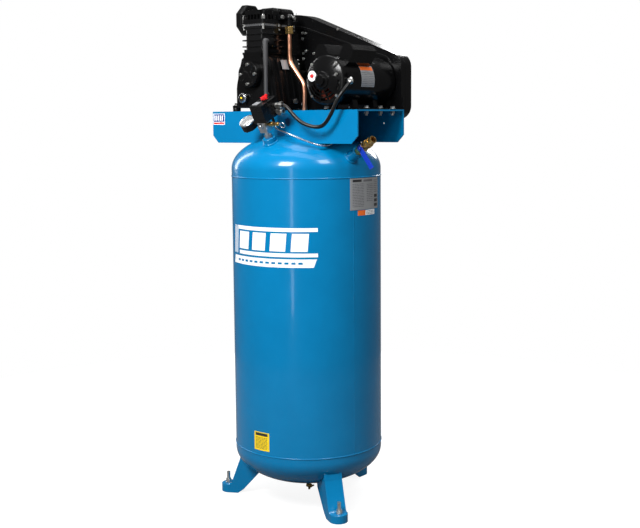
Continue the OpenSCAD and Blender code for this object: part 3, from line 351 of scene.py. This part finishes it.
def head(name, node, seam, tangent, depth, sign):
    outer = [(R, seam)] + [(max(r, 0.0), tangent + sign * z) for r, z in arc(R, depth)]
    inner = [(max(r, 0.0), tangent + sign * z) for r, z in arc(R - WALL, depth - WALL)][::-1]
    inner.append((R - WALL, seam))
    outer[-1] = (AXIS_GAP, outer[-1][1])
    inner[0] = (AXIS_GAP, inner[0][1])
    ob = lathe(name, outer + inner, M["tank_paint"], "compressor")
    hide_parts(node)


head("top_head_skin", "top_head", SEAM_TOP, TAN_TOP, HEAD_TOP, 1)
head("bottom_head_skin", "bottom_head", SEAM_LOW, TAN_LOW, HEAD_LOW, -1)


def circle(centre, radius, n, place=Matrix.Identity(4)):
    angles = [2 * math.pi * i / n for i in range(n)]
    return [place @ (Vector(centre) + Vector((radius * math.cos(a), radius * math.sin(a), 0)))
            for a in angles]


for label, z in (("upper", SEAM_TOP), ("lower", SEAM_LOW)):
    bead(f"weld_{label}", circle((0, 0, z), R - 0.0008, 480), 0.0026, M["tank_paint"], "compressor",
         closed=True, ripple=0.07)
seam_a = math.radians(-12.5)
bead("weld_long", [Vector(((R - 0.001) * math.cos(seam_a), (R - 0.001) * math.sin(seam_a),
                           SEAM_LOW + (SEAM_TOP - SEAM_LOW) * i / 300)) for i in range(301)],
     0.0016, M["tank_paint"], "compressor", ripple=0.05)


def dome_z(r):
    return TAN_TOP + HEAD_TOP * math.sqrt(max(0, 1 - (r / R) ** 2))


def weld_round_boss(name, place, radius, width=0.004):
    """A bead where an upright boss, with its axis along place's Z, meets the top head."""
    pts = []
    for i in range(90):
        a = 2 * math.pi * i / 90
        p = None
        for s in range(-60, 61):
            q = place @ Vector((radius * math.cos(a), radius * math.sin(a), s * 0.001))
            if q.z >= dome_z(math.hypot(q.x, q.y)):
                p = q
                break
        pts.append(p or q)
    bead(name, pts, width, M["tank_paint"], "compressor", closed=True, ripple=0.12)


def turn(axis, deg):
    return Matrix.Rotation(math.radians(deg), 4, axis)


# Frames of the leaning and turned fittings, Z along each one's axis
AT_SWITCH = Matrix.Translation((0, -0.178, 1.241)) @ turn("X", 26)
AT_GAUGE = AT_SWITCH @ Matrix.Translation((-0.068, 0, 0.070)) @ turn("X", 15)
OUT_A = math.radians(-12)
AT_OUTLET = Matrix.Translation((0.240 * math.cos(OUT_A), 0.240 * math.sin(OUT_A), 1.193)) \
    @ turn("Z", -12) @ turn("Y", 62)
AT_VALVE = AT_OUTLET @ turn("Z", 16)
weld_round_boss("weld_switch_boss", AT_SWITCH, 0.0225)
weld_round_boss("weld_outlet_boss", AT_OUTLET, 0.0195)
weld_round_boss("weld_check_boss", Matrix.Translation((-0.041, 0.043, 1.273)), 0.0225)


# ---------------------------------------------------------------- printed labels
def tank_patches(name, items, mats):
    """Thin curved patches on the shell, each (angle0, angle1, z0, z1, height, material, slant).

    Angles and slant are in degrees, the rest in millimetres."""
    verts, faces, index = [], [], []
    for a0, a1, z0, z1, h, mi, slant in items:
        n = max(2, int(abs(a1 - a0) / 1.5) + 1)
        base = len(verts)
        for i in range(n + 1):
            for z, side in ((z0, 0), (z1, 1)):
                a = math.radians(a0 + (a1 - a0) * i / n + slant * side)
                for r in (R - 0.0003, R + h * MM):
                    verts.append(Vector((r * math.cos(a), r * math.sin(a), z * MM)))
        quads = []
        for i in range(n):
            p, q = base + 4 * i, base + 4 * (i + 1)
            quads += [(p + 1, q + 1, q + 3, p + 3), (p, p + 2, q + 2, q), (p, q, q + 1, p + 1),
                      (p + 2, p + 3, q + 3, q + 2)]
        e = base + 4 * n
        quads += [(base, base + 1, base + 3, base + 2), (e, e + 2, e + 3, e + 1)]
        faces += quads
        index += [mi] * len(quads)
    return make(name, verts, faces, mats, "compressor", index, smooth=20)


def print_rows(a0, a1, z0, z1, rows, h, mi, seed, fill=0.55):
    """Short bars in rows, standing for small print without any letters."""
    out = []
    step = (z1 - z0) / rows
    state = seed
    for k in range(rows):
        z = z1 - (k + 0.75) * step
        a = a0
        while a < a1 - 0.4:
            state = (state * 1103515245 + 12345) % 2147483648
            w = 0.5 + (state / 2147483648) * 2.2
            w = min(w, a1 - a)
            out.append((a, a + w, z, z + step * fill, h, mi, 0))
            a += w + 0.45
    return out


WHITE = [(-121.0 + 1.9 * k, -120.1 + 1.9 * k, 876, 969, 0.12, 0, 1.6) for k in range(4)]
WHITE += [(-112.4, -41.4, 957, 969, 0.12, 0, 0), (-111.0, -41.4, 875, 887, 0.12, 0, 0)]
WHITE += [(a, a + 12.4, 893, 951, 0.12, 0, 1.2) for a in (-111.2, -94.6, -78.0, -61.4)]
WHITE += [(-122.4, -44.6, 841, 868, 0.12, 0, 2.4)]
WHITE += [(-113 + 5.2 * k, -113 + 5.2 * k + 3.2, 851, 858, 0.2, 1, 0) for k in range(12)]
tank_patches("print_band", WHITE, [X["white"], M["tank_paint"]])

DATA = [(-15.7, 19.5, 1021, 1124, 0.6, 0, 0)]
DATA += [(-13.4, -4.4, 1112, 1120, 0.7, 1, 0), (-2.4, 9, 1112, 1119, 0.7, 2, 0)]
DATA += print_rows(-13.6, -1.6, 1030, 1108, 15, 0.7, 2, 11, 0.4)
DATA += print_rows(1.5, 10.0, 1046, 1106, 10, 0.7, 2, 7, 0.4)
DATA += [(12.2, 17.8, z, z + 10, 0.7, 1, 0) for z in (1028, 1043, 1058)]
DATA += print_rows(11.6, 18.2, 1074, 1118, 7, 0.7, 2, 5, 0.4)
data = tank_patches("data_plate_skin", DATA, [X["silver"], X["dark"], X["grey"]])
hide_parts("data_plate")
PUMP_PLATE = [(-116.85, 1520.2), (-115.7, 1520.55), (-105.9, 1488.35), (-107.05, 1488)]
plate = make("pump_plate", [Vector((x, y, z)) * MM for y in (5, 38) for x, z in PUMP_PLATE],
             [(0, 1, 2, 3), (7, 6, 5, 4), (0, 4, 5, 1), (1, 5, 6, 2), (2, 6, 7, 3), (3, 7, 4, 0)],
             X["silver"], "compressor")
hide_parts("data_plate")
SMALL = [(-8.4, 12.8, 1002, 1019, 0.15, 0, 0), (-8.4, 0.0, 1002, 1019, 0.2, 1, 0)]
SMALL += print_rows(1.2, 12.0, 1003.5, 1017.5, 3, 0.22, 2, 3, 0.4)
tank_patches("print_small", SMALL, [X["white"], X["orange"], X["grey"]])
CAUTION = [(-95, -80.5, 221, 283.5, 0.15, 0, 0), (-93.6, -81.9, 271, 280.5, 0.22, 1, 0)]
CAUTION += print_rows(-93.4, -82.2, 226, 267, 9, 0.22, 1, 17, 0.4)
tank_patches("print_yellow", CAUTION, [X["yellow"], X["dark"]])


def flat_patches(name, place, items, mats, body="compressor"):
    """Thin flat patches on a plane: (x0, x1, y0, y1, height, material) in mm."""
    verts, faces, index = [], [], []
    for x0, x1, y0, y1, h, mi in items:
        b = len(verts)
        for z in (-0.2, h):
            corners = ((x0, y0, z), (x1, y0, z), (x1, y1, z), (x0, y1, z))
            verts += [place @ (Vector(p) * MM) for p in corners]
        faces += [(b + 3, b + 2, b + 1, b), (b + 4, b + 5, b + 6, b + 7)]
        faces += [(b + k, b + (k + 1) % 4, b + 4 + (k + 1) % 4, b + 4 + k) for k in range(4)]
        index += [mi] * 6
    return make(name, verts, faces, mats, body, index)


def flat_rows(x0, x1, y0, y1, rows, h, mi, seed, fill=0.45):
    out = []
    step = (y1 - y0) / rows
    state = seed
    for k in range(rows):
        y = y1 - (k + 0.75) * step
        x = x0
        while x < x1 - 1:
            state = (state * 1103515245 + 12345) % 2147483648
            w = min(2 + (state / 2147483648) * 6, x1 - x)
            out.append((x, x + w, y, y + step * fill, h, mi))
            x += w + 1.3
    return out


FRONT = Matrix.Translation((0, -0.125, 0)) @ turn("X", 90)
STICKER = [(-318, -262, 1300, 1338, 0.15, 0), (-316, -264, 1310, 1336, 0.25, 1),
           (-316, -264, 1302, 1308, 0.25, 2)]
STICKER += [(-312 + 9 * k, -307 + 9 * k, 1314, 1332, 0.3, 0) for k in range(5)]
flat_patches("print_sticker", FRONT, STICKER, [X["white"], X["navy"], X["red"]])

# ---------------------------------------------------------------- CAD shapes with rounded edges
SOFT = {
    "tank_bungs": 0.0015, "leg_front_left": 0.002, "leg_front_right": 0.002, "leg_rear": 0.002,
    "foot_bolts": 0.0006, "platform": 0.002, "drain_cock": 0.0006, "drain_key": 0.0006,
    "crankcase": 0.002, "bearing_cover": 0.0015, "pump_fasteners": 0.0006, "oil_sight_glass": 0.001,
    "breather_tube": 0.0008, "mounting_bolts": 0.0006, "cylinder_block": 0.001, "valve_plate": 0.0006,
    "cylinder_head": 0.0012, "filter_base": 0.0008, "filter_cover": 0.003, "discharge_elbow": 0.0015,
    "tube_nuts": 0.001, "check_valve": 0.001, "flywheel": 0.0015, "motor_pulley": 0.001,
    "motor_front_bell": 0.002, "motor_rear_bell": 0.002, "motor_base": 0.0015,
    "capacitor_covers": 0.004, "reset_button": 0.0012, "motor_gland": 0.001, "guard_front_panel": 0.0006,
    "guard_rear_shell": 0.0009, "guard_brackets": 0.0006, "gauge_case": 0.0015,
    "safety_valve": 0.0008, "pressure_switch": 0.003, "switch_knob": 0.0012,
    "cable_connectors": 0.0008, "outlet_valve": 0.0012, "outlet_lever": 0.0012,
}
skins = {}
for node, width in SOFT.items():
    skins[node] = soften(node, width)
skins["manifold"] = soften("manifold", 0.0015, X["galvanised"])
for node, look in (("breather_tube", X["hose"]), ("cylinder_block", X["gloss"]),
                   ("oil_sight_glass", M["bright_steel"])):
    skins[node].data.materials[0] = look


def repaint_large(ob, least, mat):
    """The separate bodies in a piece that are larger than least take mat; the small ones keep their own."""
    me = ob.data
    me.materials.append(mat)
    root = list(range(len(me.vertices)))

    def find(v):
        while root[v] != v:
            root[v] = root[root[v]]
            v = root[v]
        return v

    for e in me.edges:
        a, b = find(e.vertices[0]), find(e.vertices[1])
        if a != b:
            root[a] = b
    spans = {}
    for v in me.vertices:
        lo, hi = spans.setdefault(find(v.index), (v.co.copy(), v.co.copy()))
        for k in range(3):
            lo[k] = min(lo[k], v.co[k])
            hi[k] = max(hi[k], v.co[k])
    for face in me.polygons:
        lo, hi = spans[find(face.vertices[0])]
        if (hi - lo).length > least:
            face.material_index = 1


repaint_large(skins["guard_brackets"], 0.045, M["black_paint"])
AT_SIGHT = Matrix.Translation((-0.214, -0.09, 1.391)) @ turn("X", 90)
lathe("sight_glass_face", [(0.0003, 0.0), (0.0128, 0.0), (0.0128, 0.0006), (0.0003, 0.0012)],
      X["dark_glass"], "compressor", AT_SIGHT, 48)
lathe("sight_dot", [(0.0003, 0.0011), (0.0036, 0.0009), (0.0036, 0.0014), (0.0003, 0.0015)],
      X["yellow"], "compressor", AT_SIGHT, 24)
for node in nodes:
    ob = nodes[node]
    ob.data.materials.clear()
    ob.data.materials.append(M[slot_of[node]])
    ob.data.shade_smooth()
    ob.data.set_sharp_from_angle(angle=math.radians(32))

# ---------------------------------------------------------------- tubes
DISCHARGE = [(-105, 40.5, 1634), (-105, 40.5, 1600), (-105, 40.5, 1565), (-105, 40.5, 1535),
             (-101, 41, 1512), (-87, 42, 1491), (-66, 43, 1464), (-47, 43, 1439),
             (-41, 43, 1410), (-41, 43, 1380), (-41, 43, 1345), (-41, 43, 1304)]
copper = curve_tube("discharge_line", smooth_route(DISCHARGE, 8), 0.0081, M["copper"], "compressor")
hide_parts("discharge_tube")
UNLOADER = [(28, -192.5, 1309.6), (28, -189, 1302.4), (29, -188.2, 1295.5), (34, -189, 1288.5),
            (45, -191.7, 1284), (60, -195, 1280), (80, -197.5, 1274.3), (102, -196, 1267.3),
            (131, -181, 1254), (162, -160, 1239.8), (178, -142, 1232.5), (186, -119, 1230.8),
            (190, -95, 1236), (180, -60, 1255), (150, -25, 1274), (112, 8, 1288), (70, 34, 1292),
            (20, 43, 1292), (-8, 43, 1292), (-21, 43, 1292)]
unloader = curve_tube("unloader_line", smooth_route(UNLOADER, 8), 0.003, X["tube"], "compressor")
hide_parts("unloader_tube")

# ---------------------------------------------------------------- gauge
lathe("gauge_dial", [(0.0016, -0.0045), (0.0254, -0.0045), (0.0254, -0.0036), (0.0016, -0.0036)], X["dial"],
      "compressor", AT_GAUGE, 64)
ticks = []
for k in range(31):
    a = math.radians(225 - 9 * k)
    long_tick = k % 5 == 0
    r0, r1, w = (0.0165 if long_tick else 0.019), 0.0225, (0.0009 if long_tick else 0.00045)
    u, v = Vector((math.cos(a), math.sin(a), 0)), Vector((-math.sin(a), math.cos(a), 0))
    ticks.append([AT_GAUGE @ (u * r + v * s * w / 2 + Vector((0, 0, z)))
                  for z in (-0.0038, -0.0033) for r, s in ((r0, -1), (r1, -1), (r1, 1), (r0, 1))])
verts, faces = [], []
for t in ticks:
    b = len(verts)
    verts += t
    faces += [(b + 3, b + 2, b + 1, b), (b + 4, b + 5, b + 6, b + 7)]
    faces += [(b + k, b + (k + 1) % 4, b + 4 + (k + 1) % 4, b + 4 + k) for k in range(4)]
make("gauge_ticks", verts, faces, X["dark"], "compressor")
BEZEL = [(0.0257, 0.0085), (0.0286, 0.0085), (0.0288, 0.0100), (0.0286, 0.0124), (0.0278, 0.0131),
         (0.0262, 0.0128), (0.0250, 0.0112), (0.0250, 0.0095)]
lathe("gauge_bezel", BEZEL, M["bright_steel"], "compressor", AT_GAUGE, 72)
lathe("gauge_lens", [(0.0002, 0.0112), (0.0002, 0.0102), (0.0254, 0.0094), (0.0254, 0.0104)], X["glass"],
      "compressor", AT_GAUGE, 72)

# ---------------------------------------------------------------- switch label
TOP = AT_SWITCH @ Matrix.Translation((0, 0, 0.141))
flat_patches("switch_print", TOP, [(-13, 9, -13, 11, 0.2, 0)] + flat_rows(-12, 8, -11, 10, 5, 0.3, 1, 9),
             [X["silver"], X["grey"]])

# ---------------------------------------------------------------- motor label and reset button
lathe("reset_ring", [(0.0068, 0.0), (0.0168, 0.0), (0.0168, 0.0005), (0.0068, 0.0005)], X["white"],
      "compressor", Matrix.Translation((0.1573, -0.1504, 1.452)) @ turn("X", 90), 64)


MOTOR_X, MOTOR_Z, MOTOR_R = 0.195, 1.439, 0.077


def motor_patches(name, items, mats):
    """Thin patches on the motor's shell: (angle0, angle1, y0, y1, height, material)."""
    verts, faces, index = [], [], []
    for a0, a1, y0, y1, h, mi in items:
        n = max(2, int(abs(a1 - a0) / 4) + 1)
        base = len(verts)
        for i in range(n + 1):
            a = math.radians(a0 + (a1 - a0) * i / n)
            for y in (y0, y1):
                for r in (MOTOR_R - 0.0002, MOTOR_R + h * MM):
                    verts.append(Vector((MOTOR_X + r * math.cos(a), y * MM, MOTOR_Z + r * math.sin(a))))
        quads = []
        for i in range(n):
            p, q = base + 4 * i, base + 4 * (i + 1)
            quads += [(p + 1, p + 3, q + 3, q + 1), (p, q, q + 2, p + 2), (p, p + 1, q + 1, q),
                      (p + 2, q + 2, q + 3, p + 3)]
        e = base + 4 * n
        quads += [(base, base + 2, base + 3, base + 1), (e, e + 1, e + 3, e + 2)]
        faces += quads
        index += [mi] * len(quads)
    return make(name, verts, faces, mats, "compressor", index, smooth=25)


def motor_rows(a0, a1, y0, y1, cols, h, mi, seed):
    out = []
    step = (a1 - a0) / cols
    state = seed
    for k in range(cols):
        a = a0 + k * step + step * 0.2
        y = y0
        while y < y1 - 1:
            state = (state * 1103515245 + 12345) % 2147483648
            w = min(2 + (state / 2147483648) * 7, y1 - y)
            out.append((a, a + step * 0.45, y, y + w, h, mi))
            y += w + 1.4
    return out


LABEL = [(-16, 36, -40, 28, 0.2, 0), (24, 34, -38, 26, 0.3, 1), (-14, 22, -6, -5, 0.3, 3)]
LABEL += motor_rows(-14, 20, -37, -9, 8, 0.3, 2, 21) + motor_rows(-14, 20, -2, 25, 8, 0.3, 2, 4)
motor_patches("motor_print", LABEL, [X["silver"], X["orange"], X["grey"], X["dark"]])

# ---------------------------------------------------------------- light and floor
me = bpy.data.meshes.new("floor")
me.from_pydata([(2.4 * math.cos(math.radians(5 * k)), 2.4 * math.sin(math.radians(5 * k)), 0)
                for k in range(72)], [], [tuple(range(72))])
paper = material("floor", (0.17, 0.17, 0.17), 0.9, mottle=0.01, spec=0.05)
glow = paper.node_tree.nodes["Principled BSDF"]
glow.inputs["Emission Color"].default_value = (0.9, 0.9, 0.9, 1)
seen_by = paper.node_tree.nodes.new("ShaderNodeLightPath")
paper.node_tree.links.new(seen_by.outputs["Is Camera Ray"], glow.inputs["Emission Strength"])
me.materials.append(paper)
floor = bpy.data.objects.new("floor", me)
scene.collection.objects.link(floor)

world = bpy.data.worlds.new("studio")
world.use_nodes = True
sky = world.node_tree
seen = sky.nodes["Background"]
seen.inputs["Color"].default_value = (1, 1, 1, 1)
seen.inputs["Strength"].default_value = 1.0
dim = sky.nodes.new("ShaderNodeBackground")
dim.inputs["Color"].default_value = (1, 1, 1, 1)
dim.inputs["Strength"].default_value = 0.14
ray = sky.nodes.new("ShaderNodeLightPath")
either = sky.nodes.new("ShaderNodeMixShader")
sky.links.new(ray.outputs["Is Camera Ray"], either.inputs[0])
sky.links.new(dim.outputs[0], either.inputs[1])
sky.links.new(seen.outputs[0], either.inputs[2])
sky.links.new(either.outputs[0], sky.nodes["World Output"].inputs["Surface"])
scene.world = world
scene.view_settings.view_transform = "Standard"


def softbox(name, at, aim, size, power):
    data = bpy.data.lights.new(name, "AREA")
    data.shape = "RECTANGLE"
    data.size, data.size_y = size
    data.energy = power
    ob = bpy.data.objects.new(name, data)
    scene.collection.objects.link(ob)
    ob.location = at
    ob.rotation_euler = (Vector(aim) - Vector(at)).to_track_quat("-Z", "Y").to_euler()


softbox("key", (0.35, -2.8, 3.1), (0, 0, 0.8), (1.1, 1.1), 190)
softbox("right", (2.3, -0.7, 3.5), (0, 0, 1.0), (0.8, 1.0), 50)
softbox("left", (-3.2, 0.1, 2.2), (0, 0, 1.0), (0.5, 2.4), 30)
softbox("front", (1.1, -3.2, 1.2), (0, 0, 0.9), (0.25, 2.2), 9)
softbox("top", (0.0, 0.6, 4.6), (0, 0, 0.0), (4.0, 4.0), 150)
softbox("back", (-1.0, 3.4, 2.6), (0, 0, 1.0), (1.0, 1.6), 70)
